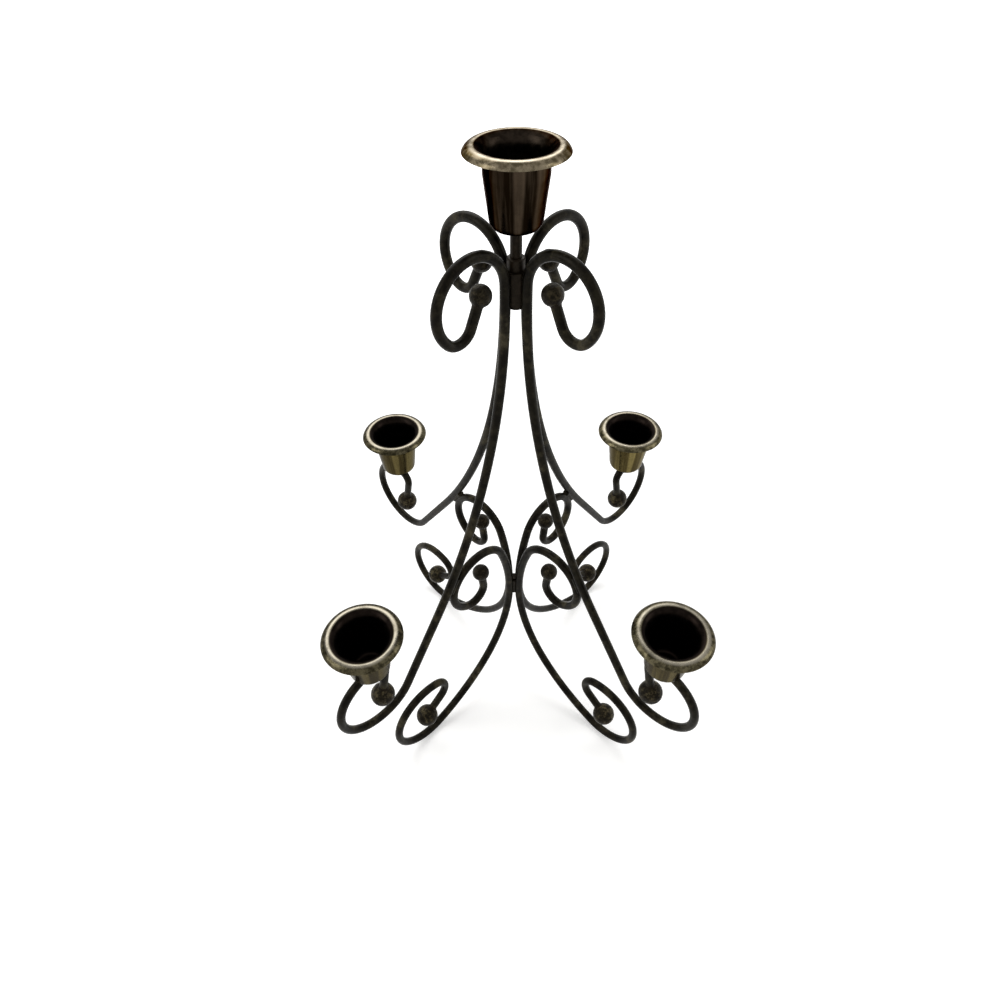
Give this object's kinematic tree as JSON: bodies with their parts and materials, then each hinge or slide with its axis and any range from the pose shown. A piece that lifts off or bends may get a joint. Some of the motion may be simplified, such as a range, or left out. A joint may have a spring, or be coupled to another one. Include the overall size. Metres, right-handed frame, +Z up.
{
  "type": "candelabra",
  "caption": "Free-standing table candelabra of scrolled round rod, with candle cups at different heights on arms and on a centre post.",
  "frame": {"origin": "on the table plane, on the centre post's axis", "axes": "+Z up along the post; the four arms and legs lie in the upright planes midway between X and Y; -Y is the front"},
  "size_m": [0.1802, 0.1802, 0.3241],
  "materials": {
    "bronze_rod": "dark bronze lacquer on steel rod, satin gloss",
    "bronze_ball": "dark bronze lacquer, lightly pitted",
    "braze": "lacquered braze metal, lumpy",
    "core_steel": "dark bronze lacquer on steel",
    "cup_brass": "antiqued brass sheet, dark patina, rubbed lighter on the rim",
    "pin_brass": "antiqued brass"
  },
  "bodies": {
    "root": {"post": "core_steel", "core_sleeve": "bronze_rod", "crown_braze": "braze", "hub_core": "core_steel", "hub_braze": "braze", "cup_top": "cup_brass", "arm_front_left": "bronze_rod", "leg_front_left": "bronze_rod", "cup_ball_front_left": "bronze_ball", "crown_ball_front_left": "bronze_ball", "foot_ball_front_left": "bronze_ball", "scroll_ball_front_left": "bronze_ball", "cup_front_left": "cup_brass", "cup_pad_front_left": "bronze_rod", "cup_pin_front_left": "pin_brass", "arm_weld_front_left": "braze", "arm_front_right": "bronze_rod", "leg_front_right": "bronze_rod", "cup_ball_front_right": "bronze_ball", "crown_ball_front_right": "bronze_ball", "foot_ball_front_right": "bronze_ball", "scroll_ball_front_right": "bronze_ball", "cup_front_right": "cup_brass", "cup_pad_front_right": "bronze_rod", "cup_pin_front_right": "pin_brass", "arm_weld_front_right": "braze", "arm_back_right": "bronze_rod", "leg_back_right": "bronze_rod", "cup_ball_back_right": "bronze_ball", "crown_ball_back_right": "bronze_ball", "foot_ball_back_right": "bronze_ball", "scroll_ball_back_right": "bronze_ball", "cup_back_right": "cup_brass", "cup_pad_back_right": "bronze_rod", "cup_pin_back_right": "pin_brass", "arm_weld_back_right": "braze", "arm_back_left": "bronze_rod", "leg_back_left": "bronze_rod", "cup_ball_back_left": "bronze_ball", "crown_ball_back_left": "bronze_ball", "foot_ball_back_left": "bronze_ball", "scroll_ball_back_left": "bronze_ball", "cup_back_left": "cup_brass", "cup_pad_back_left": "bronze_rod", "cup_pin_back_left": "pin_brass", "arm_weld_back_left": "braze"}
  },
  "joints": []
}
